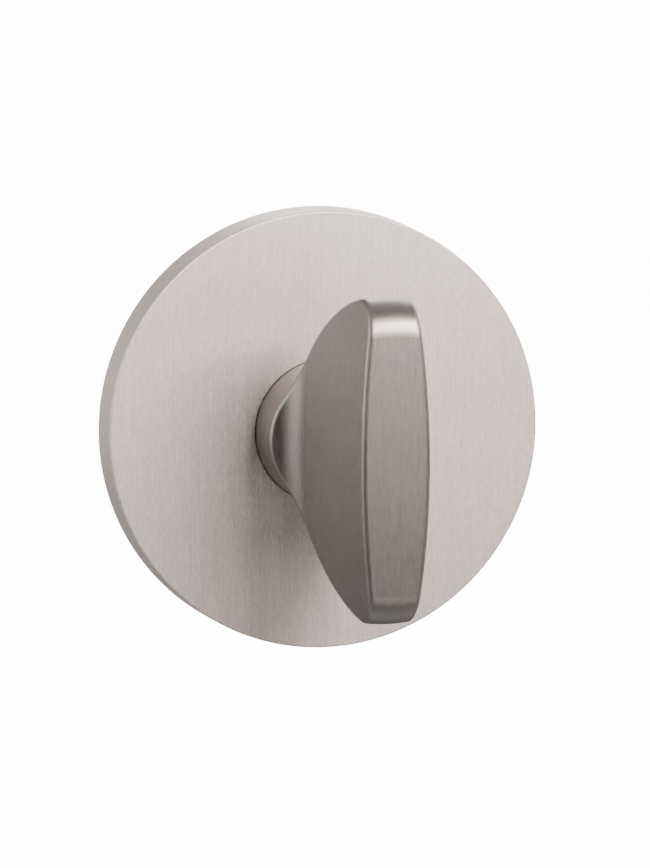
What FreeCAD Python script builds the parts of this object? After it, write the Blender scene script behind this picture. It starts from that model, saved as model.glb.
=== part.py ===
import FreeCAD, Part
import math
import os
import re
import Sketcher

# Bathroom thumb turn on a round rose, in millimetres.
# The door's face is the plane y = 0, and the turn stands out of it towards -Y.
# The origin is the centre of the rose on the door's face, with +Z up.
# A "front" size is measured from the door's face towards -Y, and a "rear" size into the door.

SIZES = (
    # Rose cover
    ("rose_diameter", 52.0, "Diameter of the rose at the door"),
    ("rose_height", 5.5, "Front of the rose in front of the door"),
    ("cover_wall", 1.2, "Sheet of the rose cover"),
    ("cover_draft", 0.25, "How much the rim leans in at its front"),
    ("cover_rounding", 0.2, "Rounding of the rose's front edge"),
    ("cover_gap", 0.1, "Running gap of the boss in the cover's hole"),
    # Mounting plate
    ("plate_gap", 0.1, "Gap between the plate and the cover's wall"),
    ("plate_floor", 1.8, "Thickness of the plate's floor"),
    ("plate_rim", 2.4, "Width of the plate's outer rim"),
    ("hub_gap", 0.25, "Gap round the boss in the plate's hub"),
    ("hub_wall", 2.4, "Wall of the plate's front hub"),
    ("rib_width", 1.2, "Width of a stiffening rib"),
    ("rib_count", 6, "Number of stiffening ribs"),
    ("rear_hub_diameter", 20.0, "Diameter of the hub behind the plate"),
    ("rear_hub_depth", 6.0, "Depth of the hub behind the plate"),
    ("rear_hub_wall", 1.2, "Wall of the rear hub"),
    # Fixing
    ("screw_edge", 5.7, "Distance from the plate's edge to a screw's middle"),
    ("screw_diameter", 4.0, "Thread diameter of a fixing screw"),
    ("screw_shank", 3.4, "Diameter of the plain shank under a screw's head"),
    ("screw_plain", 0.5, "Plain shank between a lug's end and the thread"),
    ("screw_length", 26.0, "Length of a fixing screw with its head"),
    ("screw_head", 7.6, "Head diameter of a fixing screw"),
    ("screw_head_edge", 0.3, "Straight edge of the screw head"),
    ("screw_sink", 0.1, "How far the screw head lies below its seat's top"),
    ("screw_gap", 0.2, "Gap round a fixing screw in its hole"),
    ("screw_tip", 0.6, "Chamfer at the screw's tip"),
    ("countersink", 90.0, "Angle of the screw's head in degrees"),
    ("screw_recess", 3.6, "Width of the cross recess"),
    ("screw_slot", 0.9, "Width of one arm of the cross recess"),
    ("screw_recess_depth", 1.6, "Depth of the cross recess"),
    ("seat_wall", 0.55, "Wall of a screw seat round its countersink"),
    ("lug_diameter", 7.0, "Diameter of a support lug behind the plate"),
    ("lug_depth", 8.0, "Depth of a support lug behind the plate"),
    # Snap ring
    ("snap_wire", 1.2, "Wire diameter of the snap ring"),
    ("snap_front", 2.0, "Snap ring's middle in front of the door"),
    ("snap_catch", 0.35, "Depth of the snap groove inside the cover"),
    ("snap_play", 0.05, "Play round the snap ring's wire"),
    ("snap_opening", 12.7, "Opening of the snap ring at the bottom"),
    # Bearing
    ("shank_diameter", 11.0, "Diameter of the turn's shank"),
    ("running_gap", 0.05, "Radial running clearance of the shank"),
    ("seat_gap", 0.02, "Clearance of pieces seated in each other"),
    ("bush_wall", 1.0, "Wall of the bush's barrel"),
    ("bush_flange", 1.0, "Thickness of the bush's flange"),
    ("bush_front", 3.0, "Front of the bush's flange"),
    ("bush_rear", 2.0, "Rear end of the bush and floor of the stop"),
    # Stop, springs and retaining ring
    ("end_float", 0.05, "Axial play between turning and fixed faces"),
    ("stop_thickness", 1.0, "Thickness of the stop washer"),
    ("stop_radius", 6.8, "Radius of the stop washer's disc"),
    ("stop_lug_width", 4.0, "Width of the stop lug"),
    ("stop_gap", 0.2, "Gap round the stop washer in the hub"),
    ("turn_range", 90.0, "Angle that the thumb turn travels"),
    ("stop_slack", 0.08, "Gap between the lug and a stop at the end of the travel"),
    ("flat_width", 9.4, "Distance across the shank's two flats"),
    ("wave_height", 0.9, "Working height of the wave washer"),
    ("wave_sheet", 0.3, "Sheet of the wave washer"),
    ("wave_count", 3, "Number of waves round the washer"),
    ("washer_gap", 0.15, "Gap between the shank and the washers"),
    ("washer_width", 1.9, "Width of the wave and thrust washers"),
    ("thrust_thickness", 0.6, "Thickness of the thrust washer"),
    ("ring_thickness", 1.0, "Thickness of the retaining ring"),
    ("ring_groove", 0.5, "Depth of the retaining ring's groove"),
    ("ring_width", 1.5, "Width of the ring opposite its gap"),
    ("ring_offset", 0.3, "How far the ring's outside is off centre"),
    ("ring_ear", 1.5, "Radius of an ear of the ring"),
    ("ring_hole", 1.3, "Diameter of the hole in an ear"),
    ("ring_spread", 52.0, "Angle between the middles of the ears"),
    ("tail_length", 0.9, "Shank behind the retaining ring"),
    ("tail_chamfer", 0.4, "Chamfer at the shank's end"),
    # Thumb turn
    ("boss_diameter", 16.9, "Diameter of the turn's boss"),
    ("boss_front", 13.0, "Front of the boss"),
    ("blade_front", 36.7, "Front of the blade in its middle"),
    ("blade_height", 36.7, "Height of the blade before its corners round off"),
    ("flare_radius", 29.4, "Radius of the flare's convex curve"),
    ("flare_root", 1.2, "Radius of the hollow between the boss and the flare"),
    ("crown_radius", 200.0, "Radius of the blade's crowned front"),
    ("corner_radius", 4.2, "Rounding of the blade's two ends"),
    ("cheek_start", 12.7, "Front of the boss where the cheeks' root begins"),
    ("cheek_root", 10.6, "Thickness of the blade where it leaves the boss"),
    ("cheek_taper", 4.0, "Taper of each cheek in degrees"),
    ("cheek_sweep", 3.6, "Radius of the concave root of the cheeks"),
    ("cheek_curve", 118.0, "Radius of the cheeks' curve from end to end"),
    ("edge_rounding", 0.6, "Rounding all round each cheek"),
    # Spindle
    ("spindle_width", 6.0, "Width of the square spindle"),
    ("spindle_gap", 0.05, "Clearance of the spindle in its socket"),
    ("spindle_length", 65.0, "Length of the square spindle"),
    ("socket_front", 10.0, "Bottom of the spindle's socket"),
    ("socket_relief", 1.0, "Space left in front of the spindle"),
    ("spindle_chamfer", 0.5, "Chamfer of the spindle's edges"),
    ("pin_diameter", 2.0, "Diameter of the spring pin"),
    ("pin_wall", 0.4, "Sheet of the spring pin"),
    ("pin_slot", 0.6, "Width of the spring pin's slot"),
    ("pin_inset", 0.2, "How far the pin stays inside the shank"),
    # Cutting
    ("overcut", 2.0, "How far a cut runs on past the metal"),
)

# Two places closer than this are the same place
TOUCH = 1e-3

doc = FreeCAD.newDocument("bathroom_thumb_turn")
sizes = doc.addObject("Spreadsheet::Sheet", "sizes")
for row, (alias, value, meaning) in enumerate(SIZES, start=1):
    sizes.set(f"A{row}", meaning)
    sizes.set(f"B{row}", str(value))
    sizes.setAlias(f"B{row}", alias)
doc.recompute()

ALIASES = re.compile(r"\b(" + "|".join(alias for alias, value, meaning in SIZES) + r")\b")

# Places that follow from the sizes, as formulas of the sheet
COVER_INSIDE = "(rose_diameter / 2 - cover_wall)"
COVER_BACK = "(rose_height - cover_wall)"
COVER_HOLE = "(boss_diameter / 2 + cover_gap)"
HUB_BORE = "(boss_diameter / 2 + hub_gap)"
PLATE_RADIUS = f"({COVER_INSIDE} - plate_gap)"
SNAP_OUTER = f"({COVER_INSIDE} + snap_catch)"
SNAP_MIDDLE = f"({SNAP_OUTER} - snap_play - snap_wire / 2)"
SNAP_FLOOR = f"({SNAP_MIDDLE} - snap_wire / 2 - snap_play)"
SNAP_HALF = "(snap_wire / 2 + snap_play)"
SNAP_SWEEP = f"(360 * 1 deg - 2 * asin(snap_opening / 2 / {SNAP_MIDDLE}))"
HUB_RADIUS = f"({HUB_BORE} + hub_wall)"
RIM_INSIDE = f"({PLATE_RADIUS} - plate_rim)"
SHANK_RADIUS = "(shank_diameter / 2)"
BUSH_BORE = f"({SHANK_RADIUS} + running_gap)"
BUSH_OUTER = f"({BUSH_BORE} + bush_wall)"
BUSH_HOLE = f"({BUSH_OUTER} + seat_gap)"
BUSH_SEAT = "(bush_front - bush_flange)"
BOSS_BACK = "(bush_front + end_float)"
HUB_RECESS = "(rear_hub_diameter / 2 - rear_hub_wall)"
STOP_POCKET = "(stop_radius + stop_gap)"
STOP_REAR = "(bush_rear + end_float + stop_thickness)"
STOP_FLOOR = f"({STOP_REAR} - end_float)"
STOP_TIP = f"({HUB_RECESS} - stop_gap)"
WAVE_REAR = f"({STOP_REAR} + wave_height)"
THRUST_REAR = f"({WAVE_REAR} + thrust_thickness)"
RING_REAR = f"({THRUST_REAR} + ring_thickness)"
TAIL_REAR = f"({RING_REAR} + end_float + tail_length)"
GROOVE_RADIUS = f"({SHANK_RADIUS} - ring_groove)"
WASHER_INNER = f"({SHANK_RADIUS} + washer_gap)"
SCREW_MIDDLE = f"({PLATE_RADIUS} - screw_edge)"
SCREW_HOLE = "(screw_diameter / 2 + screw_gap)"
HEAD_FRONT = f"({COVER_BACK} - screw_sink)"
SPINDLE_FRONT = "(socket_front - socket_relief)"
PIN_HOLE = "(pin_diameter / 2 + seat_gap)"
PIN_SWEEP = "(360 * 1 deg - 2 * asin(pin_slot / pin_diameter))"
SEAT_RADIUS = "(screw_head / 2 + screw_head_edge + screw_sink + seat_gap)"
RIM_FRONT = "(blade_front - crown_radius + sqrt(crown_radius ^ 2 - (blade_height / 2) ^ 2))"
PIN_FRONT = f"(({BUSH_SEAT} - bush_rear) / 2)"

# The flare's curve would meet the boss at boss_front. A hollow that touches both joins them.
FLARE_ACROSS = "((blade_height - boss_diameter) / 2)"
FLARE_ALONG = f"({RIM_FRONT} - boss_front)"
FLARE_CHORD = f"sqrt({FLARE_ACROSS} ^ 2 + {FLARE_ALONG} ^ 2)"
FLARE_REACH = f"sqrt(flare_radius ^ 2 - ({FLARE_CHORD} / 2) ^ 2)"
FLARE_BEYOND = f"({FLARE_ALONG} / {FLARE_CHORD} * {FLARE_REACH} - (blade_height + boss_diameter) / 4)"
FLARE_MIDDLE = f"(({RIM_FRONT} + boss_front) / 2 + {FLARE_ACROSS} / {FLARE_CHORD} * {FLARE_REACH})"
HOLLOW_SIDE = "(boss_diameter / 2 + flare_root)"
HOLLOW_DROP = f"sqrt((flare_radius + flare_root) ^ 2 - ({HOLLOW_SIDE} + {FLARE_BEYOND}) ^ 2)"
FLARE_SHARE = "(flare_radius / (flare_radius + flare_root))"
FLARE_START = f"({FLARE_MIDDLE} - {HOLLOW_DROP})"
FLARE_SIDE = f"(({HOLLOW_SIDE} + {FLARE_BEYOND}) * {FLARE_SHARE} - {FLARE_BEYOND})"
FLARE_FRONT = f"({FLARE_MIDDLE} - {HOLLOW_DROP} * {FLARE_SHARE})"


def bound(formula):
    """Return a formula with each size named as its cell in the sheet."""
    return ALIASES.sub(r"sizes.\1", formula)


def number(formula):
    """Return the value that a formula has with the sizes as they stand."""
    return float(sizes.evalExpression(bound(formula)))


def new_body(label):
    """Return a new empty body, whose label names its file."""
    body = doc.addObject("PartDesign::Body", label)
    body.Label = label
    return body


def origin_part(body, role):
    """Return the plane or axis of a body's own origin that has this role."""
    return next(item for item in body.Origin.OriginFeatures if item.Role == role)


def new_sketch(body, name, plane, offset="0"):
    """Return an empty sketch on one of the body's planes, moved along its normal."""
    sketch = body.newObject("Sketcher::SketchObject", name)
    sketch.AttachmentSupport = [(origin_part(body, plane), "")]
    sketch.MapMode = "FlatFace"
    sketch.setExpression("AttachmentOffset.Base.z", bound(offset))
    return sketch


def tie(sketch, constraint, formula):
    """Add a constraint to a sketch and bind its value to a formula."""
    index = sketch.addConstraint(constraint)
    name = f"size_{index}"
    sketch.renameConstraint(index, name)
    sketch.setExpression(f"Constraints.{name}", bound(formula))


def arc_between(start, end, radius, side):
    """Return the short arc from start to end, with its middle left (1) or right (-1) of the way."""
    chord = end - start
    middle = (start + end) * 0.5
    left = FreeCAD.Vector(-chord.y, chord.x, 0).normalize()
    reach = math.sqrt(radius ** 2 - (chord.Length / 2) ** 2)
    centre = middle + left * (reach * side)
    crown = centre + (middle - centre).normalize() * radius
    return Part.Arc(start, crown, end)


def draw_outline(sketch, corners, bends=None):
    """Draw a closed outline whose corners are pairs of formulas.

    bends gives the runs that are arcs: the index of the corner where the arc starts,
    with the arc's radius as a formula and the side on which its middle lies.
    """
    bends = bends or {}
    points = [FreeCAD.Vector(number(across), number(along), 0) for across, along in corners]
    ends = []
    for index, start in enumerate(points):
        end = points[(index + 1) % len(points)]
        if index in bends:
            radius, side = bends[index]
            geometry = sketch.addGeometry(arc_between(start, end, number(radius), side))
        else:
            geometry = sketch.addGeometry(Part.LineSegment(start, end))
        to_first = (sketch.getPoint(geometry, 1) - start).Length
        to_second = (sketch.getPoint(geometry, 2) - start).Length
        ends.append((geometry, 1, 2) if to_first < to_second else (geometry, 2, 1))
    for index, (geometry, first, last) in enumerate(ends):
        following, following_first, following_last = ends[(index + 1) % len(ends)]
        sketch.addConstraint(Sketcher.Constraint("Coincident", geometry, last, following, following_first))
    for (geometry, first, last), (across, along) in zip(ends, corners):
        tie(sketch, Sketcher.Constraint("DistanceX", -1, 1, geometry, first, number(across)), across)
        tie(sketch, Sketcher.Constraint("DistanceY", -1, 1, geometry, first, number(along)), along)
    for index, (radius, side) in bends.items():
        tie(sketch, Sketcher.Constraint("Radius", ends[index][0], number(radius)), radius)


def draw_circle(sketch, across, along, radius):
    """Draw a circle with its middle and radius given as formulas."""
    middle = FreeCAD.Vector(number(across), number(along), 0)
    circle = sketch.addGeometry(Part.Circle(middle, FreeCAD.Vector(0, 0, 1), number(radius)))
    tie(sketch, Sketcher.Constraint("DistanceX", -1, 1, circle, 3, number(across)), across)
    tie(sketch, Sketcher.Constraint("DistanceY", -1, 1, circle, 3, number(along)), along)
    tie(sketch, Sketcher.Constraint("Radius", circle, number(radius)), radius)


def turned(body, name, corners, bends=None):
    """Turn an outline round the Y axis. Its corners are (radius, front) pairs."""
    sketch = new_sketch(body, f"{name}_section", "XY_Plane")
    draw_outline(sketch, [(radius, f"-({front})") for radius, front in corners], bends)
    feature = body.newObject("PartDesign::Revolution", name)
    feature.Profile = sketch
    feature.ReferenceAxis = (origin_part(body, "Y_Axis"), [""])
    feature.Angle = 360
    return feature


def extruded(body, name, kind, sketch, length, reversed_way=False):
    """Pad or pocket a sketch by a length given as a formula."""
    feature = body.newObject(f"PartDesign::{kind}", name)
    feature.Profile = sketch
    feature.setExpression("Length", bound(length))
    feature.Reversed = reversed_way
    return feature


def swept_cut(body, name, sketch, middle, way, reach):
    """Cut a sketch's outline along an arc, to the same distance on both sides of the sketch.

    The arc's axis lies in the sketch, through middle and "Horizontal" or "Vertical". reach
    is the distance to cut on each side, and the arc's radius there.
    """
    start = FreeCAD.Vector(number(middle[0]), number(middle[1]), 0)
    along = FreeCAD.Vector(1, 0, 0) if way == "Horizontal" else FreeCAD.Vector(0, -1, 0)
    line = sketch.addGeometry(Part.LineSegment(start, start + along), True)
    sketch.addConstraint(Sketcher.Constraint(way, line))
    tie(sketch, Sketcher.Constraint("DistanceX", -1, 1, line, 1, number(middle[0])), middle[0])
    tie(sketch, Sketcher.Constraint("DistanceY", -1, 1, line, 1, number(middle[1])), middle[1])
    doc.recompute()
    feature = body.newObject("PartDesign::Groove", name)
    feature.Profile = sketch
    feature.ReferenceAxis = (sketch, ["Axis0"])
    feature.Midplane = True
    feature.setExpression("Angle", bound(f"2 * asin({reach[0]} / ({reach[1]}))"))
    return feature


def mirrored(body, name, original):
    """Repeat a feature on the other side of the upright middle plane."""
    doc.recompute()
    feature = body.newObject("PartDesign::Mirrored", name)
    feature.Originals = [original]
    feature.MirrorPlane = (origin_part(body, "YZ_Plane"), [""])
    body.Tip = feature
    return feature


def edge_names(feature, wanted):
    """Return the names of the feature's edges for which wanted(edge) is true."""
    edges = enumerate(feature.Shape.Edges, start=1)
    return [f"Edge{index}" for index, edge in edges if wanted(edge)]


def rounded(body, name, base, radius, wanted):
    """Fillet the edges of base for which wanted(edge) is true."""
    doc.recompute()
    feature = body.newObject("PartDesign::Fillet", name)
    feature.Base = (base, edge_names(base, wanted))
    feature.setExpression("Radius", bound(radius))
    return feature


def is_ring(edge, radius, front):
    """Tell whether an edge is a full circle round the Y axis at this radius and front."""
    box = edge.BoundBox
    flat = box.YLength < TOUCH and abs(box.YMin + front) < TOUCH
    return flat and abs(box.XLength - 2 * radius) < TOUCH


def is_long_edge(edge, boss_front, beside_x):
    """Tell whether an edge runs along the side of the blade, between a cheek and the turned form.

    All of it lies in front of the boss and at least beside_x off the middle plane. A fillet
    follows these edges on round the crown and the boss, which they meet without a corner.
    """
    middle = edge.valueAt((edge.FirstParameter + edge.LastParameter) / 2)
    ends = [vertex.Point for vertex in edge.Vertexes]
    beside = min(abs(point.x) for point in ends + [middle]) > beside_x
    ahead = -middle.y > boss_front + TOUCH
    level = abs(ends[0].z + ends[-1].z) < TOUCH and abs(ends[0].y - ends[-1].y) < TOUCH
    return beside and ahead and not level


def make_rose_cover():
    """Make the drawn cap, with a hole for the boss and a groove for the snap ring."""
    body = new_body("rose_cover")
    shell = turned(body, "cover_shell", [
        (COVER_HOLE, "rose_height"),
        ("rose_diameter / 2 - cover_draft", "rose_height"),
        ("rose_diameter / 2", "0"),
        (COVER_INSIDE, "0"),
        (COVER_INSIDE, f"snap_front - {SNAP_HALF}"),
        (SNAP_OUTER, f"snap_front - {SNAP_HALF}"),
        (SNAP_OUTER, f"snap_front + {SNAP_HALF}"),
        (COVER_INSIDE, f"snap_front + {SNAP_HALF}"),
        (COVER_INSIDE, COVER_BACK),
        (COVER_HOLE, COVER_BACK),
    ])
    front = number("rose_height")
    edge_radius = number("rose_diameter / 2 - cover_draft")
    rounded(body, "cover_edge", shell, "cover_rounding", lambda edge: is_ring(edge, edge_radius, front))
    return body


def make_mounting_plate():
    """Make the die-cast inner rose with its hubs, ribs, screw seats, lugs and stop."""
    body = new_body("mounting_plate")
    casting = turned(body, "plate_casting", [
        (HUB_BORE, COVER_BACK),
        (HUB_RADIUS, COVER_BACK),
        (HUB_RADIUS, "plate_floor"),
        (RIM_INSIDE, "plate_floor"),
        (RIM_INSIDE, COVER_BACK),
        (PLATE_RADIUS, COVER_BACK),
        (PLATE_RADIUS, f"snap_front + {SNAP_HALF}"),
        (SNAP_FLOOR, f"snap_front + {SNAP_HALF}"),
        (SNAP_FLOOR, f"snap_front - {SNAP_HALF}"),
        (PLATE_RADIUS, f"snap_front - {SNAP_HALF}"),
        (PLATE_RADIUS, "0"),
        ("rear_hub_diameter / 2", "0"),
        ("rear_hub_diameter / 2", "-rear_hub_depth"),
        (HUB_RECESS, "-rear_hub_depth"),
        (HUB_RECESS, f"-{STOP_FLOOR}"),
        (STOP_POCKET, f"-{STOP_FLOOR}"),
        (STOP_POCKET, "-bush_rear"),
        (BUSH_HOLE, "-bush_rear"),
        (BUSH_HOLE, BUSH_SEAT),
        (HUB_BORE, BUSH_SEAT),
    ])
    rib_sketch = new_sketch(body, "rib_plan", "XZ_Plane", "plate_floor")
    draw_outline(rib_sketch, [
        (f"{HUB_RADIUS} - hub_wall / 2", "-rib_width / 2"),
        (f"{RIM_INSIDE} + plate_rim / 4", "-rib_width / 2"),
        (f"{RIM_INSIDE} + plate_rim / 4", "rib_width / 2"),
        (f"{HUB_RADIUS} - hub_wall / 2", "rib_width / 2"),
    ])
    rib = extruded(body, "rib", "Pad", rib_sketch, f"{COVER_BACK} - plate_floor")
    ribs = body.newObject("PartDesign::PolarPattern", "ribs")
    ribs.Originals = [rib]
    ribs.Axis = (origin_part(body, "Y_Axis"), [""])
    ribs.Angle = 360
    ribs.setExpression("Occurrences", bound("rib_count"))
    body.Tip = ribs
    seat_sketch = new_sketch(body, "seat_plan", "XZ_Plane")
    lug_sketch = new_sketch(body, "lug_plan", "XZ_Plane")
    for height in (SCREW_MIDDLE, f"-{SCREW_MIDDLE}"):
        draw_circle(seat_sketch, "0", height, f"{SEAT_RADIUS} + seat_wall")
        draw_circle(lug_sketch, "0", height, "lug_diameter / 2")
    extruded(body, "screw_seats", "Pad", seat_sketch, COVER_BACK)
    extruded(body, "support_lugs", "Pad", lug_sketch, "lug_depth", reversed_way=True)
    hole_sketch = new_sketch(body, "hole_plan", "XZ_Plane", COVER_BACK)
    for height in (SCREW_MIDDLE, f"-{SCREW_MIDDLE}"):
        draw_circle(hole_sketch, "0", height, SCREW_HOLE)
    doc.recompute()
    holes = body.newObject("PartDesign::Hole", "screw_holes")
    holes.Profile = hole_sketch
    holes.DepthType = "ThroughAll"
    holes.Threaded = False
    holes.HoleCutType = "Countersink"
    holes.HoleCutCustomValues = True
    holes.setExpression("HoleCutCountersinkAngle", bound("countersink"))
    holes.setExpression("Diameter", bound(f"2 * {SCREW_HOLE}"))
    holes.setExpression("HoleCutDiameter", bound(f"2 * {SEAT_RADIUS}"))
    stop_sketch = new_sketch(body, "stop_plan", "XZ_Plane", f"-{STOP_FLOOR}")
    draw_stop_sector(stop_sketch)
    stop = extruded(body, "stop_travel", "Pocket", stop_sketch, f"{STOP_FLOOR} - bush_rear")
    stop.Reversed = True
    return body


def draw_stop_sector(sketch):
    """Draw the ring sector in which the stop lug travels, over the top of the hub."""
    half = "(turn_range / 2 * 1 deg)"
    beside = "(stop_lug_width / 2 + stop_slack)"
    corners = []
    for radius in ("stop_radius", HUB_RECESS):
        reach = f"sqrt({radius} ^ 2 - {beside} ^ 2)"
        across = f"({reach} * sin({half}) + {beside} * cos({half}))"
        along = f"({reach} * cos({half}) - {beside} * sin({half}))"
        corners.append((across, along))
    inner, outer = corners
    draw_outline(sketch, [
        inner,
        outer,
        (f"-{outer[0]}", outer[1]),
        (f"-{inner[0]}", inner[1]),
    ], {1: (HUB_RECESS, 1), 3: ("stop_radius", -1)})


def make_bearing_bush():
    """Make the flanged bush that carries the shank."""
    body = new_body("bearing_bush")
    turned(body, "bush", [
        (BUSH_BORE, "bush_front"),
        ("boss_diameter / 2", "bush_front"),
        ("boss_diameter / 2", BUSH_SEAT),
        (BUSH_OUTER, BUSH_SEAT),
        (BUSH_OUTER, "-bush_rear"),
        (BUSH_BORE, "-bush_rear"),
    ])
    return body


def make_thumb_turn():
    """Make the turn: a turned blank with both sides cut away, keyed and bored at its shank."""
    body = new_body("thumb_turn")
    beyond = "(blade_front + overcut)"
    outside = "(blade_height / 2 + overcut)"
    turned(body, "blank", [
        ("0", f"-{TAIL_REAR}"),
        (f"{SHANK_RADIUS} - tail_chamfer", f"-{TAIL_REAR}"),
        (SHANK_RADIUS, f"-({TAIL_REAR} - tail_chamfer)"),
        (SHANK_RADIUS, f"-({RING_REAR} + end_float)"),
        (GROOVE_RADIUS, f"-({RING_REAR} + end_float)"),
        (GROOVE_RADIUS, f"-{THRUST_REAR}"),
        (SHANK_RADIUS, f"-{THRUST_REAR}"),
        (SHANK_RADIUS, BOSS_BACK),
        ("boss_diameter / 2", BOSS_BACK),
        ("boss_diameter / 2", FLARE_START),
        (FLARE_SIDE, FLARE_FRONT),
        ("blade_height / 2", RIM_FRONT),
        ("blade_height / 2", beyond),
        ("0", beyond),
    ], {9: ("flare_root", 1), 10: ("flare_radius", -1)})
    crown_sketch = new_sketch(body, "crown_plan", "XY_Plane")
    crown_middle = "(crown_radius - blade_front)"
    crown_edge = f"(sqrt(crown_radius ^ 2 - {outside} ^ 2) - {crown_middle})"
    draw_outline(crown_sketch, [
        (f"-{outside}", f"-{crown_edge}"),
        (outside, f"-{crown_edge}"),
        (outside, f"-({beyond} + overcut)"),
        (f"-{outside}", f"-({beyond} + overcut)"),
    ], {0: ("crown_radius", 1)})
    crown = swept_cut(body, "crown", crown_sketch, ("0", crown_middle), "Horizontal", (outside, "crown_radius"))
    rim_front = number(RIM_FRONT)
    rim_radius = number("blade_height / 2")
    rounded(body, "blade_ends", crown, "corner_radius", lambda edge: is_ring(edge, rim_radius, rim_front))
    cheek_sketch = new_sketch(body, "cheek_plan", "XY_Plane")
    root = "(cheek_root / 2)"
    sweep_side = f"({root} + cheek_sweep * cos(cheek_taper))"
    draw_outline(cheek_sketch, [
        (sweep_side, "-cheek_start"),
        (root, "-(cheek_start + cheek_sweep - cheek_sweep * sin(cheek_taper))"),
        (f"{root} - ({beyond} - cheek_start - cheek_sweep) * tan(cheek_taper)", f"-{beyond}"),
        (outside, f"-{beyond}"),
        (outside, "-cheek_start"),
    ], {0: ("cheek_sweep", 1)})
    pivot = f"(cheek_curve - {root})"
    cheek = swept_cut(body, "cheek", cheek_sketch, (f"-{pivot}", "0"), "Vertical", (outside, pivot))
    cheeks = mirrored(body, "cheeks", cheek)
    boss_front = number("boss_front")
    beside_x = number("cheek_root / 5")
    rounded(
        body, "long_edges", cheeks, "edge_rounding",
        lambda edge: is_long_edge(edge, boss_front, beside_x),
    )
    socket_sketch = new_sketch(body, "socket_plan", "XZ_Plane", f"-{TAIL_REAR}")
    half = "(spindle_width / 2 + spindle_gap)"
    draw_square(socket_sketch, half)
    extruded(body, "socket", "Pocket", socket_sketch, f"{TAIL_REAR} + socket_front", reversed_way=True)
    flat_sketch = new_sketch(body, "flat_plan", "XZ_Plane", f"-{TAIL_REAR}")
    for side in ("", "-"):
        draw_outline(flat_sketch, [
            (f"{side}flat_width / 2", "-shank_diameter"),
            (f"{side}shank_diameter", "-shank_diameter"),
            (f"{side}shank_diameter", "shank_diameter"),
            (f"{side}flat_width / 2", "shank_diameter"),
        ])
    extruded(body, "flats", "Pocket", flat_sketch, f"{TAIL_REAR} - bush_rear", reversed_way=True)
    pin_sketch = new_sketch(body, "pin_plan", "XY_Plane")
    draw_circle(pin_sketch, "0", f"-{PIN_FRONT}", PIN_HOLE)
    pin_hole = extruded(body, "pin_hole", "Pocket", pin_sketch, "shank_diameter + overcut")
    pin_hole.Midplane = True
    return body


def make_stop_washer():
    """Make the keyed washer whose lug stops the turn at each end of its travel."""
    body = new_body("stop_washer")
    disc_sketch = new_sketch(body, "disc_plan", "XZ_Plane", f"-{STOP_REAR}")
    draw_circle(disc_sketch, "0", "0", "stop_radius")
    extruded(body, "disc", "Pad", disc_sketch, "stop_thickness")
    lug_sketch = new_sketch(body, "stop_lug_plan", "XZ_Plane", f"-{STOP_REAR}")
    turn = "(turn_range / 2 * 1 deg)"
    reach = f"sqrt({STOP_TIP} ^ 2 - (stop_lug_width / 2) ^ 2)"
    corners = []
    for out, beside in (("stop_radius / 2", -1), (reach, -1), (reach, 1), ("stop_radius / 2", 1)):
        side = f"({beside} * stop_lug_width / 2)"
        corners.append((
            f"-({out}) * sin({turn}) + {side} * cos({turn})",
            f"({out}) * cos({turn}) + {side} * sin({turn})",
        ))
    draw_outline(lug_sketch, corners, {1: (STOP_TIP, -1)})
    extruded(body, "stop_lug", "Pad", lug_sketch, "stop_thickness")
    key_sketch = new_sketch(body, "key_plan", "XZ_Plane", f"-{STOP_REAR}")
    flat = "(flat_width / 2 + seat_gap)"
    bore = f"({SHANK_RADIUS} + seat_gap)"
    rise = f"sqrt({bore} ^ 2 - {flat} ^ 2)"
    draw_outline(key_sketch, [
        (flat, f"-{rise}"),
        (flat, rise),
        (f"-{flat}", rise),
        (f"-{flat}", f"-{rise}"),
    ], {1: (bore, 1), 3: (bore, 1)})
    extruded(body, "key_hole", "Pocket", key_sketch, "stop_thickness", reversed_way=True)
    return body


def make_wave_washer():
    """Make the spring washer: a ring of sheet whose waves run round the shank."""
    washer = doc.addObject("Part::Feature", "wave_washer")
    washer.Label = "wave_washer"
    crest = (number("wave_height") - number("wave_sheet")) / 2
    waves = round(number("wave_count"))
    steps = waves * 8
    rims = []
    for radius in (number(WASHER_INNER), number(f"{WASHER_INNER} + washer_width")):
        points = []
        for step in range(steps):
            angle = 2 * math.pi * step / steps
            depth = crest * (1 - math.cos(waves * angle))
            points.append(FreeCAD.Vector(radius * math.cos(angle), depth, radius * math.sin(angle)))
        curve = Part.BSplineCurve()
        curve.interpolate(Points=points, PeriodicFlag=True)
        rims.append(curve.toShape())
    sheet = Part.makeRuledSurface(rims[0], rims[1])
    washer.Shape = sheet.extrude(FreeCAD.Vector(0, number("wave_sheet"), 0))
    washer.Placement = FreeCAD.Placement(FreeCAD.Vector(0, number(STOP_REAR), 0), FreeCAD.Rotation())
    return washer


def make_thrust_washer():
    """Make the flat washer between the wave washer and the retaining ring."""
    body = new_body("thrust_washer")
    sketch = new_sketch(body, "thrust_plan", "XZ_Plane", f"-{THRUST_REAR}")
    draw_circle(sketch, "0", "0", WASHER_INNER)
    draw_circle(sketch, "0", "0", f"{WASHER_INNER} + washer_width")
    extruded(body, "thrust_ring", "Pad", sketch, "thrust_thickness")
    return body


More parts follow.
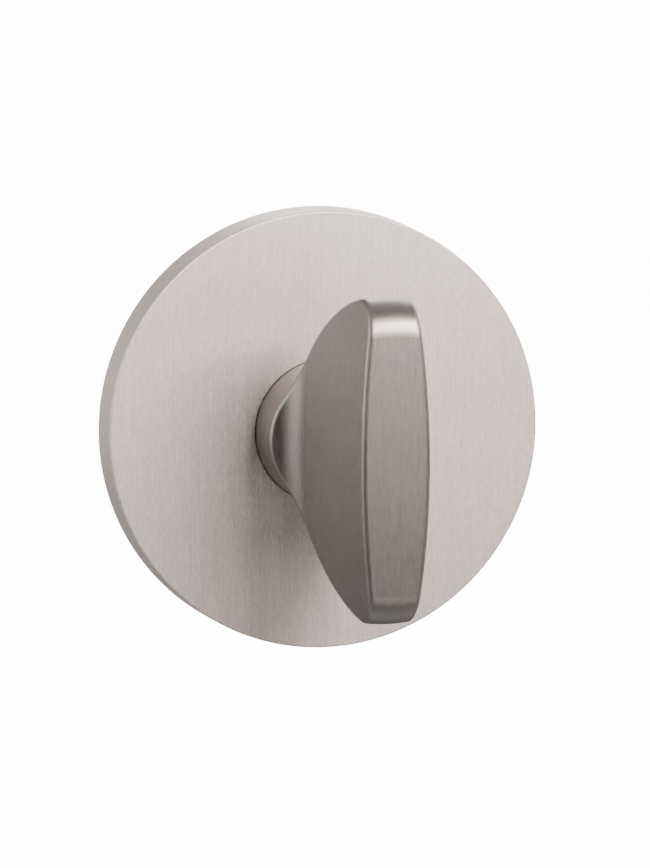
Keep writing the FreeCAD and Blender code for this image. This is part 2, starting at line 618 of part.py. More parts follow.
def make_retaining_ring():
    """Make the circlip: an eccentric open ring with two ears, its gap at the bottom."""
    body = new_body("retaining_ring")
    inner = f"({GROOVE_RADIUS} + seat_gap)"
    ear = f"({inner} + ring_ear)"
    half = "(ring_spread / 2 * 1 deg)"
    ring_sketch = new_sketch(body, "ring_plan", "XZ_Plane", f"-{RING_REAR}")
    draw_circle(ring_sketch, "0", "0", inner)
    draw_circle(ring_sketch, "0", "ring_offset", f"{inner} + ring_width - ring_offset")
    extruded(body, "open_ring", "Pad", ring_sketch, "ring_thickness")
    gap_sketch = new_sketch(body, "gap_plan", "XZ_Plane", f"-{RING_REAR}")
    draw_outline(gap_sketch, [
        ("0", "0"),
        (f"-2 * {inner} * tan({half})", f"-2 * {inner}"),
        (f"2 * {inner} * tan({half})", f"-2 * {inner}"),
    ])
    extruded(body, "ring_gap", "Pocket", gap_sketch, "ring_thickness", reversed_way=True)
    ear_sketch = new_sketch(body, "ear_plan", "XZ_Plane", f"-{RING_REAR}")
    hole_sketch = new_sketch(body, "ear_hole_plan", "XZ_Plane", f"-{RING_REAR}")
    for side in ("", "-"):
        across = f"{side}{ear} * sin({half})"
        draw_circle(ear_sketch, across, f"-{ear} * cos({half})", "ring_ear")
        draw_circle(hole_sketch, across, f"-{ear} * cos({half})", "ring_hole / 2")
    extruded(body, "ears", "Pad", ear_sketch, "ring_thickness")
    extruded(body, "ear_holes", "Pocket", hole_sketch, "ring_thickness", reversed_way=True)
    return body


def make_square_spindle():
    """Make the square bar, chamfered at both ends and drilled for its pin."""
    body = new_body("square_spindle")
    sketch = new_sketch(body, "spindle_plan", "XZ_Plane", SPINDLE_FRONT)
    draw_square(sketch, "(spindle_width / 2)")
    bar = extruded(body, "bar", "Pad", sketch, "spindle_length", reversed_way=True)
    doc.recompute()
    chamfer = body.newObject("PartDesign::Chamfer", "bar_ends")
    chamfer.Base = (bar, edge_names(bar, lambda edge: edge.BoundBox.YLength < TOUCH))
    chamfer.setExpression("Size", bound("spindle_chamfer"))
    pin_sketch = new_sketch(body, "bar_pin_plan", "XY_Plane")
    draw_circle(pin_sketch, "0", f"-{PIN_FRONT}", PIN_HOLE)
    hole = extruded(body, "bar_pin_hole", "Pocket", pin_sketch, "spindle_width + overcut")
    hole.Midplane = True
    return body


def make_spindle_pin():
    """Make the slotted spring pin through the shank and the spindle."""
    body = new_body("spindle_pin")
    body.setExpression("Placement.Base.y", bound(f"-{PIN_FRONT}"))
    half = "(shank_diameter / 2 - pin_inset)"
    sketch = new_sketch(body, "pin_section", "XZ_Plane")
    draw_outline(sketch, [
        ("pin_diameter / 2 - pin_wall", f"-{half}"),
        ("pin_diameter / 2", f"-{half}"),
        ("pin_diameter / 2", half),
        ("pin_diameter / 2 - pin_wall", half),
    ])
    pin = body.newObject("PartDesign::Revolution", "pin")
    pin.Profile = sketch
    pin.ReferenceAxis = (origin_part(body, "Z_Axis"), [""])
    pin.setExpression("Angle", bound(PIN_SWEEP))
    return body


def make_fixing_screws():
    """Make the two countersunk screws as one group: the lower one, repeated upwards."""
    body = new_body("fixing_screws")
    body.AllowCompound = True
    body.setExpression("Placement.Base.z", bound(f"-{SCREW_MIDDLE}"))
    cone = "((screw_head - screw_shank) / 2 / tan(countersink / 2))"
    thread_front = "(-(lug_depth + screw_plain))"
    screw = turned(body, "screw", [
        ("0", HEAD_FRONT),
        ("screw_head / 2", HEAD_FRONT),
        ("screw_head / 2", f"{HEAD_FRONT} - screw_head_edge"),
        ("screw_shank / 2", f"{HEAD_FRONT} - screw_head_edge - {cone}"),
        ("screw_shank / 2", thread_front),
        ("screw_diameter / 2", thread_front),
        ("screw_diameter / 2", f"{HEAD_FRONT} - screw_length + screw_tip"),
        ("screw_diameter / 2 - screw_tip", f"{HEAD_FRONT} - screw_length"),
        ("0", f"{HEAD_FRONT} - screw_length"),
    ])
    recess_sketch = new_sketch(body, "recess_plan", "XZ_Plane", HEAD_FRONT)
    arm = "(screw_recess / 2)"
    slot = "(screw_slot / 2)"
    quarter = [(slot, arm), (slot, slot), (arm, slot)]
    corners = list(quarter)
    corners += [(across, f"-{along}") for across, along in reversed(quarter)]
    corners += [(f"-{across}", f"-{along}") for across, along in quarter]
    corners += [(f"-{across}", along) for across, along in reversed(quarter)]
    draw_outline(recess_sketch, corners)
    recess = extruded(body, "recess", "Pocket", recess_sketch, "screw_recess_depth")
    doc.recompute()
    pair = body.newObject("PartDesign::LinearPattern", "pair")
    pair.Originals = [screw, recess]
    pair.Direction = (origin_part(body, "Z_Axis"), [""])
    pair.setExpression("Length", bound(f"2 * {SCREW_MIDDLE}"))
    pair.Occurrences = 2
    body.Tip = pair
    return body


def make_cover_snap_ring():
    """Make the open wire ring that holds the cover on the plate, its gap at the bottom."""
    ring = doc.addObject("Part::Torus", "cover_snap_ring")
    ring.Label = "cover_snap_ring"
    ring.setExpression("Radius1", bound(SNAP_MIDDLE))
    ring.setExpression("Radius2", bound("snap_wire / 2"))
    ring.setExpression("Angle3", bound(SNAP_SWEEP))
    upright = FreeCAD.Rotation(FreeCAD.Vector(1, 0, 0), -90)
    start = FreeCAD.Rotation(FreeCAD.Vector(0, 0, 1), 90 + (360 - number(SNAP_SWEEP)) / 2)
    ring.Placement = FreeCAD.Placement(FreeCAD.Vector(0, 0, 0), upright.multiply(start))
    ring.setExpression("Placement.Base.y", bound("-snap_front"))
    return ring


def draw_square(sketch, half):
    """Draw a square round the sketch's origin, with its half width as a formula."""
    draw_outline(sketch, [
        (f"-{half}", f"-{half}"),
        (half, f"-{half}"),
        (half, half),
        (f"-{half}", half),
    ])


bodies = [
    make_rose_cover(),
    make_mounting_plate(),
    make_bearing_bush(),
    make_thumb_turn(),
    make_cover_snap_ring(),
    make_fixing_screws(),
    make_stop_washer(),
    make_wave_washer(),
    make_thrust_washer(),
    make_retaining_ring(),
    make_square_spindle(),
    make_spindle_pin(),
]
doc.recompute()

for item in doc.Objects:
    if "Invalid" in item.State or "Error" in item.State:
        raise RuntimeError(f"{item.Name} failed: {item.State}")
for part in bodies:
    if part.Shape.isNull() or not part.Shape.isValid():
        raise RuntimeError(f"{part.Label} has no valid shape")

os.makedirs("parts", exist_ok=True)
for part in bodies:
    part.Shape.exportStep(f"parts/{part.Label}.step")
    print(part.Label, len(part.Shape.Solids), round(part.Shape.Volume, 1), part.Shape.BoundBox)
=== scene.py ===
import logging
import math
from dataclasses import dataclass, field
from enum import Enum, IntEnum

import bmesh
import bpy
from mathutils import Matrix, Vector


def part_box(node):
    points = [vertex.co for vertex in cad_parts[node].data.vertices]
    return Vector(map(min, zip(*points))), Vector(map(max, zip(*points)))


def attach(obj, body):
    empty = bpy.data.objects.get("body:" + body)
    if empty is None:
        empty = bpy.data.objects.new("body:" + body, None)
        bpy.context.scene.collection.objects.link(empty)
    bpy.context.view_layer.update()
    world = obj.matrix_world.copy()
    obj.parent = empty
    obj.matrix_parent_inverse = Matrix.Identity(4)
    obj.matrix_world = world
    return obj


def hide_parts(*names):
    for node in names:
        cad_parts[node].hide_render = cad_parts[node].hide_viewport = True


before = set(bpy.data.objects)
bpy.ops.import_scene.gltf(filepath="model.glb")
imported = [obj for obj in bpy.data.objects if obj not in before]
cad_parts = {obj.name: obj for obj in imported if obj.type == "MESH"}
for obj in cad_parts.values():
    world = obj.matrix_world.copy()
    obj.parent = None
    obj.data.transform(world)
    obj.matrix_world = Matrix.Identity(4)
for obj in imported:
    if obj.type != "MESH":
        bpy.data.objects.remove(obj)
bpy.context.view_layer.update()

MM = 0.001
LOG = logging.getLogger("thumb_turn")

# One noise seldom leaves the first range, and a mix of several seldom leaves the second.
NOISE_SPAN = (0.3, 0.7)
MIX_SPAN = (0.36, 0.64)
# How many finer octaves a noise has, and how much each keeps of the one before it.
FINE_DETAIL = 3.0
COARSE_DETAIL = 2.0
OCTAVE_SHARE = 0.6
# Where a mix node gives out its number and its colour.
MIXED_NUMBER = 0
MIXED_COLOUR = 2
# Points of a mesh that are closer than this, in metres, are one.
WELD = 1e-7


class MixPlace(IntEnum):
    """Where a mix node takes what it mixes, as its inputs share their names."""

    SHARE = 0
    FIRST_NUMBER = 2
    SECOND_NUMBER = 3
    FIRST_COLOUR = 6
    SECOND_COLOUR = 7


class Grain(Enum):
    """The axis along which a finish's grain runs."""

    ACROSS = 0
    DEEP = 1
    UPRIGHT = 2


def linear(code: str) -> tuple[float, float, float, float]:
    """Turn an sRGB hex colour into linear light.

    Args:
        code: six hex digits, such as "9A9390".

    Returns:
        Red, green, blue and an alpha of one.
    """
    parts = [int(code[start:start + 2], 16) / 255 for start in (0, 2, 4)]
    light = [part / 12.92 if part <= 0.04045 else ((part + 0.055) / 1.055) ** 2.4
             for part in parts]
    return (light[0], light[1], light[2], 1.0)


def add_node(tree: bpy.types.NodeTree, kind: str, settings: dict[str | int, object] | None = None,
             links: dict[str | int, bpy.types.NodeSocket] | None = None) -> bpy.types.Node:
    """Add a node to a tree with its settings and what feeds it.

    Args:
        tree: the tree that gets the node.
        kind: the node's type.
        settings: a value for each input or property, by name, or by number for an input.
        links: the output that feeds each input, by name or number.

    Returns:
        The new node.
    """
    node = tree.nodes.new(kind)
    for name, value in (settings or {}).items():
        if isinstance(name, int) or name in node.inputs:
            node.inputs[name].default_value = value
        else:
            setattr(node, name, value)
    for name, source in (links or {}).items():
        tree.links.new(source, node.inputs[name])
    return node


def new_material(name: str) -> tuple[bpy.types.Material, bpy.types.NodeTree]:
    """Make an empty node material.

    Args:
        name: the material's name.

    Returns:
        The material and its empty node tree.
    """
    material = bpy.data.materials.new(name)
    material.use_nodes = True
    material.node_tree.nodes.clear()
    return material, material.node_tree


def streaks(tree: bpy.types.NodeTree, place: bpy.types.NodeSocket, grain: Grain, width: float,
            length: float, detail: float = FINE_DETAIL) -> bpy.types.NodeSocket:
    """Make noise drawn out along one axis, as scratches of a real width and length.

    Args:
        tree: the tree that gets the noise.
        place: the coordinates, in metres.
        grain: the axis along which the scratches run.
        width: a scratch's width in metres.
        length: a scratch's length in metres.
        detail: how many finer octaves the noise has.

    Returns:
        The noise, from 0 to 1 about 0.5.
    """
    scale = [1 / width] * 3
    scale[grain.value] = 1 / length
    mapping = add_node(tree, "ShaderNodeMapping", {"Scale": scale}, {"Vector": place})
    noise = add_node(tree, "ShaderNodeTexNoise", {
        "Scale": 1.0, "Detail": detail, "Roughness": OCTAVE_SHARE,
    }, {"Vector": mapping.outputs["Vector"]})
    return noise.outputs["Fac"]


def across_grain(tree: bpy.types.NodeTree, where: bpy.types.Node, grain: Grain,
                 nudge: float = 0.004) -> bpy.types.NodeSocket:
    """Find the way across a grain on the surface, in which brushed metal spreads its shine.

    Args:
        tree: the tree that gets the nodes.
        where: the texture coordinates.
        grain: the axis along which the scratches run.
        nudge: how far the way is pushed aside, because it is nil where the surface faces
            along the grain.

    Returns:
        The way, in the world's axes.
    """
    along = [0.0, 0.0, 0.0]
    along[grain.value] = 1.0
    aside = [0.0, 0.0, 0.0]
    aside[(grain.value + 1) % 3] = nudge
    cross = add_node(tree, "ShaderNodeVectorMath", {"operation": "CROSS_PRODUCT", 1: along},
                     {0: where.outputs["Normal"]})
    pushed = add_node(tree, "ShaderNodeVectorMath", {"operation": "ADD", 1: aside},
                      {0: cross.outputs[0]})
    turned = add_node(tree, "ShaderNodeVectorTransform", {
        "vector_type": "VECTOR", "convert_from": "OBJECT", "convert_to": "WORLD",
    }, {0: pushed.outputs[0]})
    return turned.outputs[0]


@dataclass(frozen=True)
class Finish:
    """What every finish has: two tones, a roughness that wanders and a fine relief."""

    name: str
    light: str
    dark: str
    roughness: float
    # How far the roughness wanders to each side.
    spread: float
    # The height of the relief in metres, and how strongly it shows.
    relief: float
    strength: float = field(default=1.0, kw_only=True)

    def build(self) -> bpy.types.Material:
        """Build the material.

        Returns:
            The material.
        """
        material, tree = new_material(self.name)
        self.fill(tree, add_node(tree, "ShaderNodeTexCoord"))
        return material

    def fill(self, tree: bpy.types.NodeTree, where: bpy.types.Node) -> None:
        """Fill the material with the finish's own pattern.

        Args:
            tree: the material's tree.
            where: the texture coordinates.
        """
        raise NotImplementedError

    def shade(self, tree: bpy.types.NodeTree, tone: bpy.types.NodeSocket,
              wander: bpy.types.NodeSocket, height: bpy.types.NodeSocket,
              settings: dict[str | int, object],
              links: dict[str | int, bpy.types.NodeSocket] | None = None) -> None:
        """Join the tones, the roughness and the relief in one shader.

        Args:
            tree: the material's tree.
            tone: how light the surface is, from the dark tone at 0 to the light one at 1.
            wander: the noise that the roughness follows.
            height: the noise that the relief follows.
            settings: the shader's own settings.
            links: what else feeds the shader.
        """
        colour = add_node(tree, "ShaderNodeMix", {
            "data_type": "RGBA", MixPlace.FIRST_COLOUR: linear(self.dark),
            MixPlace.SECOND_COLOUR: linear(self.light),
        }, {MixPlace.SHARE: tone})
        rough = add_node(tree, "ShaderNodeMapRange", {
            "From Min": NOISE_SPAN[0], "From Max": NOISE_SPAN[1],
            "To Min": self.roughness - self.spread, "To Max": self.roughness + self.spread,
        }, {"Value": wander})
        bump = add_node(tree, "ShaderNodeBump", {
            "Strength": self.strength, "Distance": self.relief,
        }, {"Height": height})
        shader = add_node(tree, "ShaderNodeBsdfPrincipled", settings, {
            "Base Color": colour.outputs[MIXED_COLOUR], "Roughness": rough.outputs["Result"],
            "Normal": bump.outputs["Normal"], **(links or {}),
        })
        add_node(tree, "ShaderNodeOutputMaterial", links={"Surface": shader.outputs[0]})


@dataclass(frozen=True)
class BrushedStainless(Finish):
    """Stainless steel, belt-brushed: fine straight scratches that spread its shine sideways."""

    # How much more the shine spreads across the scratches than along them.
    anisotropy: float
    # A belt of about 180 grit leaves scratches 0.05 mm wide. They are drawn two to three times as
    # wide, to show.
    scratch_width: float
    scratch_length: float
    grain: Grain = Grain.UPRIGHT
    # Where the surface faces along the grain, the belt went the other way. The change is made
    # over this range of the normal's part along the grain.
    end_grain: Grain = Grain.DEEP
    end_span: tuple[float, float] = (0.6, 0.85)
    # The belt's joints and worn grains leave bolder scratches here and there.
    bold_width: float = 0.34 * MM
    bold_length: float = 9.0 * MM
    bold_share: float = 0.25
    # The belt's passes leave faint bands, a few millimetres wide.
    band_width: float = 2.4 * MM
    band_length: float = 30.0 * MM
    band_share: float = 0.08

    def fill(self, tree: bpy.types.NodeTree, where: bpy.types.Node) -> None:
        """Fill the material with scratches, bolder ones and bands.

        Args:
            tree: the material's tree.
            where: the texture coordinates.
        """
        place = where.outputs["Object"]
        scratch = self.scratches(tree, where)
        bold = streaks(tree, place, self.grain, self.bold_width, self.bold_length, COARSE_DETAIL)
        band = streaks(tree, place, self.grain, self.band_width, self.band_length, COARSE_DETAIL)
        tone = scratch
        for share, layer in ((self.bold_share, bold), (self.band_share, band)):
            tone = add_node(tree, "ShaderNodeMix", {"data_type": "FLOAT", MixPlace.SHARE: share}, {
                MixPlace.FIRST_NUMBER: tone, MixPlace.SECOND_NUMBER: layer,
            }).outputs[MIXED_NUMBER]
        clear = add_node(tree, "ShaderNodeMapRange", {
            "From Min": MIX_SPAN[0], "From Max": MIX_SPAN[1],
        }, {"Value": tone})
        self.shade(tree, clear.outputs["Result"], scratch, scratch,
                   {"Metallic": 1.0, "Anisotropic": self.anisotropy},
                   {"Tangent": across_grain(tree, where, self.grain)})

    def scratches(self, tree: bpy.types.NodeTree, where: bpy.types.Node) -> bpy.types.NodeSocket:
        """Make the scratches, which go the other way where the surface faces along the grain.

        Args:
            tree: the material's tree.
            where: the texture coordinates.

        Returns:
            The scratches' noise.
        """
        facing = add_node(tree, "ShaderNodeSeparateXYZ", links={0: where.outputs["Normal"]})
        lean = add_node(tree, "ShaderNodeMath", {"operation": "ABSOLUTE"},
                        {0: facing.outputs[self.grain.value]})
        at_end = add_node(tree, "ShaderNodeMapRange", {
            "From Min": self.end_span[0], "From Max": self.end_span[1],
        }, {"Value": lean.outputs[0]})
        first, second = (streaks(tree, where.outputs["Object"], grain, self.scratch_width,
                                 self.scratch_length) for grain in (self.grain, self.end_grain))
        both = add_node(tree, "ShaderNodeMix", {"data_type": "FLOAT"}, {
            MixPlace.SHARE: at_end.outputs["Result"], MixPlace.FIRST_NUMBER: first,
            MixPlace.SECOND_NUMBER: second,
        })
        return both.outputs[MIXED_NUMBER]


@dataclass(frozen=True)
class PlainMetal(Finish):
    """A metal surface left by its making: mottled in tone, with fine grains or pits."""

    # The size of a grain of the surface and of a patch of its tone, in metres.
    grit: float
    patch: float

    def fill(self, tree: bpy.types.NodeTree, where: bpy.types.Node) -> None:
        """Fill the material with patches and fine grains.

        Args:
            tree: the material's tree.
            where: the texture coordinates.
        """
        place = where.outputs["Object"]
        grains = add_node(tree, "ShaderNodeTexNoise", {
            "Scale": 1 / self.grit, "Detail": FINE_DETAIL,
        }, {"Vector": place})
        patches = add_node(tree, "ShaderNodeTexNoise", {
            "Scale": 1 / self.patch, "Detail": FINE_DETAIL, "Roughness": OCTAVE_SHARE,
        }, {"Vector": place})
        tone = add_node(tree, "ShaderNodeMapRange", {
            "From Min": NOISE_SPAN[0], "From Max": NOISE_SPAN[1],
        }, {"Value": patches.outputs["Fac"]})
        self.shade(tree, tone.outputs["Result"], patches.outputs["Fac"], grains.outputs["Fac"],
                   {"Metallic": 1.0})


@dataclass(frozen=True)
class DrawnSteel(Finish):
    """Steel drawn through a die: straight fine lines along its length."""

    grain: Grain
    # Die lines are about 0.1 mm apart and run a long way.
    line_width: float = 0.12 * MM
    line_length: float = 40.0 * MM
    patch: float = 5.0 * MM

    def fill(self, tree: bpy.types.NodeTree, where: bpy.types.Node) -> None:
        """Fill the material with lines that come and go in patches.

        Args:
            tree: the material's tree.
            where: the texture coordinates.
        """
        place = where.outputs["Object"]
        line = streaks(tree, place, self.grain, self.line_width, self.line_length)
        patches = add_node(tree, "ShaderNodeTexNoise", {
            "Scale": 1 / self.patch, "Detail": COARSE_DETAIL,
        }, {"Vector": place})
        cloud = add_node(tree, "ShaderNodeMapRange", {
            "From Min": NOISE_SPAN[0], "From Max": NOISE_SPAN[1],
        }, {"Value": patches.outputs["Fac"]})
        tone = add_node(tree, "ShaderNodeMix", {"data_type": "FLOAT"}, {
            MixPlace.SHARE: patches.outputs["Fac"], MixPlace.FIRST_NUMBER: line,
            MixPlace.SECOND_NUMBER: cloud.outputs["Result"],
        })
        self.shade(tree, tone.outputs[MIXED_NUMBER], line, line, {"Metallic": 1.0})


@dataclass(frozen=True)
class MouldedAcetal(Finish):
    """Acetal, moulded and left natural: milky, waxy and slightly soft to light."""

    # A mould's surface is eroded to grains of about 0.1 mm.
    grit: float = 0.12 * MM
    patch: float = 3.0 * MM
    index: float = 1.48
    # How much light goes into the plastic, and how deep.
    milkiness: float = 0.15
    depth: float = 0.6 * MM

    def fill(self, tree: bpy.types.NodeTree, where: bpy.types.Node) -> None:
        """Fill the material with faint clouds and the mould's fine grain.

        Args:
            tree: the material's tree.
            where: the texture coordinates.
        """
        grains, patches = (add_node(tree, "ShaderNodeTexNoise", {
            "Scale": 1 / size, "Detail": COARSE_DETAIL,
        }, {"Vector": where.outputs["Object"]}).outputs["Fac"] for size in (self.grit, self.patch))
        self.shade(tree, patches, grains, grains, {
            "IOR": self.index, "Subsurface Weight": self.milkiness, "Subsurface Scale": self.depth,
        })


# Stainless steel brushed upright on its flat face: pale, warm, with an even satin sheen.
ROSE_FINISH = BrushedStainless("brushed_stainless_rose", "F2E6E1", "D5CAC6", 0.58, 0.03,
                              0.0009 * MM, 0.35, 0.13 * MM, 0.8 * MM)
# The same steel on the turn, brushed upright and over its ends: a little darker and shinier.
TURN_FINISH = BrushedStainless("brushed_stainless_turn", "9C9490", "8A8380", 0.42, 0.03,
                              0.0016 * MM, 0.5, 0.16 * MM, 1.8 * MM)
# Zinc alloy as it leaves the die: dull grey, cloudy, with a fine skin.
CAST_ZINC = PlainMetal("die_cast_zinc", "A6A9AC", "93969A", 0.5, 0.05,
                       0.006 * MM, 0.25 * MM, 4.0 * MM)
# Bright zinc plate over steel: cool, fairly glossy and faintly cloudy.
ZINC_PLATE = PlainMetal("zinc_plated_steel", "C3C8CF", "A4A9B1", 0.27, 0.07,
                        0.0012 * MM, 0.18 * MM, 2.0 * MM)
# Spring steel after hardening: dark grey with a brown cast where it was tempered.
SPRING_STEEL = PlainMetal("hardened_spring_steel", "6E6A66", "4B4949", 0.34, 0.06,
                          0.001 * MM, 0.2 * MM, 1.5 * MM)
# Phosphate on spring steel: nearly black, crystalline and dull.
PHOSPHATED = PlainMetal("phosphated_steel", "34353A", "222327", 0.55, 0.06,
                        0.003 * MM, 0.1 * MM, 1.2 * MM)
# Spring wire drawn through a die, oiled and grey.
SPRING_WIRE = PlainMetal("drawn_spring_wire", "82817F", "5F5E5E", 0.33, 0.06,
                         0.0012 * MM, 0.15 * MM, 2.5 * MM)
# Square bar drawn bright and zinc plated: straight lines along it.
SPINDLE_STEEL = DrawnSteel("bright_drawn_steel", "C2C5C9", "9FA2A7", 0.26, 0.06,
                           0.0012 * MM, Grain.DEEP)
# Natural acetal: off-white and waxy, with the dull skin of its mould.
ACETAL = MouldedAcetal("moulded_acetal", "E9E7DE", "DAD7CB", 0.42, 0.05,
                       0.002 * MM, strength=0.6)


def copy_into(own: bmesh.types.BMesh, mesh: bmesh.types.BMesh) -> None:
    """Move one mesh into another and free it.

    Args:
        own: the mesh that is moved.
        mesh: the mesh that gets it.
    """
    data = bpy.data.meshes.new("part")
    own.to_mesh(data)
    own.free()
    mesh.from_mesh(data)
    bpy.data.meshes.remove(data)


def direction(azimuth: float, elevation: float) -> Vector:
    """Return the way from the object to something round it.

    Args:
        azimuth: degrees to the right of straight in front.
        elevation: degrees above the horizon.

    Returns:
        A vector of length one.
    """
    turn, lift = math.radians(azimuth), math.radians(elevation)
    level = math.cos(lift)
    return Vector((math.sin(turn) * level, -math.cos(turn) * level, math.sin(lift)))


def dress(node: str, finish: Finish) -> None:
    """Give a node of the frame its finish.

    Args:
        node: the node's name.
        finish: the finish that its slots get.
    """
    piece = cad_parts[node]
    piece.data.materials.clear()
    piece.data.materials.append(finish.build())
    LOG.info("%s: %s", node, finish.name)


@dataclass
class Rose:
    """The fixed side: the cover, the plate and the bearing behind it."""

    cover: str = "rose_cover"
    plate: str = "mounting_plate"
    bush: str = "bearing_bush"
    snap_ring: str = "cover_snap_ring"

    def build(self) -> None:
        """Dress every piece of the rose."""
        dress(self.cover, ROSE_FINISH)
        dress(self.plate, CAST_ZINC)
        dress(self.bush, ACETAL)
        dress(self.snap_ring, SPRING_WIRE)


@dataclass
class TurnUnit:
    """What turns: the knob, its washers and rings, and the spindle."""

    knob: str = "thumb_turn"
    plated: tuple[str, ...] = ("stop_washer", "thrust_washer")
    sprung: tuple[str, ...] = ("wave_washer", "spindle_pin")
    circlip: str = "retaining_ring"
    spindle: str = "square_spindle"

    def build(self) -> None:
        """Dress every piece of the turn."""
        dress(self.knob, TURN_FINISH)
        for node in self.plated:
            dress(node, ZINC_PLATE)
        for node in self.sprung:
            dress(node, SPRING_STEEL)
        dress(self.circlip, PHOSPHATED)
        dress(self.spindle, SPINDLE_STEEL)


@dataclass
class FixingScrews:
    """The two countersunk screws, with the thread that their plain solids leave out."""

    node: str = "fixing_screws"
    piece: str = "fixing_screws_threaded"
    head_radius: float = 3.8 * MM
    head_edge: float = 0.3 * MM
    shank_radius: float = 1.7 * MM
    # An M4 thread: its crests are 0.01 mm under size, to stay inside the solids.
    thread_front: float = 8.5 * MM
    crest_radius: float = 1.99 * MM
    root_radius: float = 1.57 * MM
    pitch: float = 0.7 * MM
    tip_chamfer: float = 0.6 * MM
    # The thread gets its full height over this length.
    run_out: float = 1.2 * MM
    # The plain shank ends inside the thread, a little thinner than the thread's root.
    hidden_share: float = 0.9
    recess_reach: float = 1.8 * MM
    recess_half: float = 0.45 * MM
    recess_depth: float = 1.6 * MM
    recess_taper: float = 0.55
    segments: int = 32
    # Edges that turn by more than this many degrees stay sharp.
    sharp_angle: float = 35.0
    # The thread's section over one pitch: share of the pitch, and whether it is on the crest.
    section: tuple[tuple[float, bool], ...] = (
        (0.0, False), (0.12, False), (0.47, True), (0.6, True),
    )

    def build(self) -> None:
        """Build both screws as one piece in the place of the node."""
        low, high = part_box(self.node)
        middle = high.z - self.head_radius
        mesh = bmesh.new()
        for height in (-middle, middle):
            self.add_thread(mesh, self.thread_front, high.y, height)
            self.add_head(mesh, low.y, height)
        bmesh.ops.recalc_face_normals(mesh, faces=mesh.faces)
        data = bpy.data.meshes.new(self.piece)
        mesh.to_mesh(data)
        mesh.free()
        data.shade_smooth()
        data.set_sharp_from_angle(angle=math.radians(self.sharp_angle))
        data.materials.append(ZINC_PLATE.build())
        piece = bpy.data.objects.new(self.piece, data)
        bpy.context.scene.collection.objects.link(piece)
        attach(piece, "rose")
        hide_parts(self.node)
        LOG.info("%s: %s, %d faces", piece.name, ZINC_PLATE.name, len(data.polygons))

    def add_thread(self, mesh: bmesh.types.BMesh, start: float, end: float,
                   height: float) -> None:
        """Add the threaded shank as a closed skin.

        Args:
            mesh: the mesh that gets the shank.
            start: where the thread starts behind the plain shank.
            end: the tip.
            height: the screw's middle.
        """
        own = bmesh.new()
        steps = round((end - start) / self.pitch * self.segments) + self.segments
        rows = []
        for step in range(steps + self.segments + 1):
            angle = math.tau * step / self.segments
            row = []
            for share, crest in self.section:
                along = start + self.pitch * (step / self.segments - 1 + share)
                along = min(max(along, start), end)
                radius = self.thread_radius(along - start, end - along, crest)
                row.append(own.verts.new((radius * math.cos(angle), along,
                                          height + radius * math.sin(angle))))
            rows.append(row)
        last = len(self.section) - 1
        for step in range(steps):
            for place in range(last):
                own.faces.new((rows[step][place], rows[step + 1][place],
                               rows[step + 1][place + 1], rows[step][place + 1]))
            own.faces.new((rows[step][last], rows[step + 1][last],
                           rows[step + 1 + self.segments][0], rows[step + self.segments][0]))
        bmesh.ops.remove_doubles(own, verts=own.verts, dist=WELD)
        bmesh.ops.dissolve_degenerate(own, edges=own.edges, dist=WELD)
        loose = [vert for vert in own.verts if not vert.link_faces]
        bmesh.ops.delete(own, geom=loose, context="VERTS")
        rims = [edge for edge in own.edges if edge.is_boundary]
        bmesh.ops.holes_fill(own, edges=rims, sides=0)
        copy_into(own, mesh)

    def thread_radius(self, past: float, left: float, crest: bool) -> float:
        """Find how far a point of the thread is from the screw's axis.

        Args:
            past: how far the point is behind the thread's start.
            left: how far it is in front of the tip.
            crest: whether it is on the crest.

        Returns:
            The radius, which grows from the start and shrinks at the tip's chamfer.
        """
        depth = (self.crest_radius - self.root_radius) * min(1.0, past / self.run_out)
        chamfered = self.crest_radius - max(0.0, self.tip_chamfer - left)
        return min(self.root_radius + (depth if crest else 0.0), chamfered)

    def add_head(self, mesh: bmesh.types.BMesh, front: float, height: float) -> None:
        """Add the countersunk head with its cross recess, and the plain shank behind it.

        Args:
            mesh: the mesh that gets the head.
            front: the head's flat front.
            height: the screw's middle.
        """
        neck = front + self.head_edge + self.head_radius - self.shank_radius
        outline = [(self.head_radius, front), (self.head_radius, front + self.head_edge),
                   (self.shank_radius, neck), (self.shank_radius, self.thread_front),
                   (self.root_radius * self.hidden_share, self.thread_front + self.pitch / 2)]
        own = bmesh.new()
        count = self.segments * 2
        turns = [math.tau * step / count for step in range(count)]
        rings = [[own.verts.new((radius * math.cos(turn), along, height + radius * math.sin(turn)))
                  for turn in turns] for radius, along in outline]
        for ring, following in zip(rings, rings[1:]):
            for step in range(count):
                after = (step + 1) % count
                own.faces.new((ring[step], ring[after], following[after], following[step]))
        own.faces.new(rings[-1])
        self.add_recess(own, rings[0], front, height)
        copy_into(own, mesh)

    def add_recess(self, own: bmesh.types.BMesh, rim: list[bmesh.types.BMVert], front: float,
                   height: float) -> None:
        """Close the head's front round a tapering cross recess.

        Args:
            own: the head's mesh.
            rim: the front's outer ring, from the +X side round to +Z and on.
            front: the head's flat front.
            height: the screw's middle.
        """
        arm, half = self.recess_reach, self.recess_half
        quarter = [(arm, -half), (arm, half), (half, half)]
        corners = []
        for turn in range(4):
            angle = turn * math.pi / 2
            cos, sin = round(math.cos(angle)), round(math.sin(angle))
            corners += [(x * cos - z * sin, x * sin + z * cos) for x, z in quarter]
        mouth = [own.verts.new((x, front, height + z)) for x, z in corners]
        taper, bottom = self.recess_taper, front + self.recess_depth
        floor = [own.verts.new((x * taper, bottom, height + z * taper)) for x, z in corners]
        for place in range(len(mouth)):
            after = (place + 1) % len(mouth)
            own.faces.new((mouth[place], mouth[after], floor[after], floor[place]))
        own.faces.new(floor)
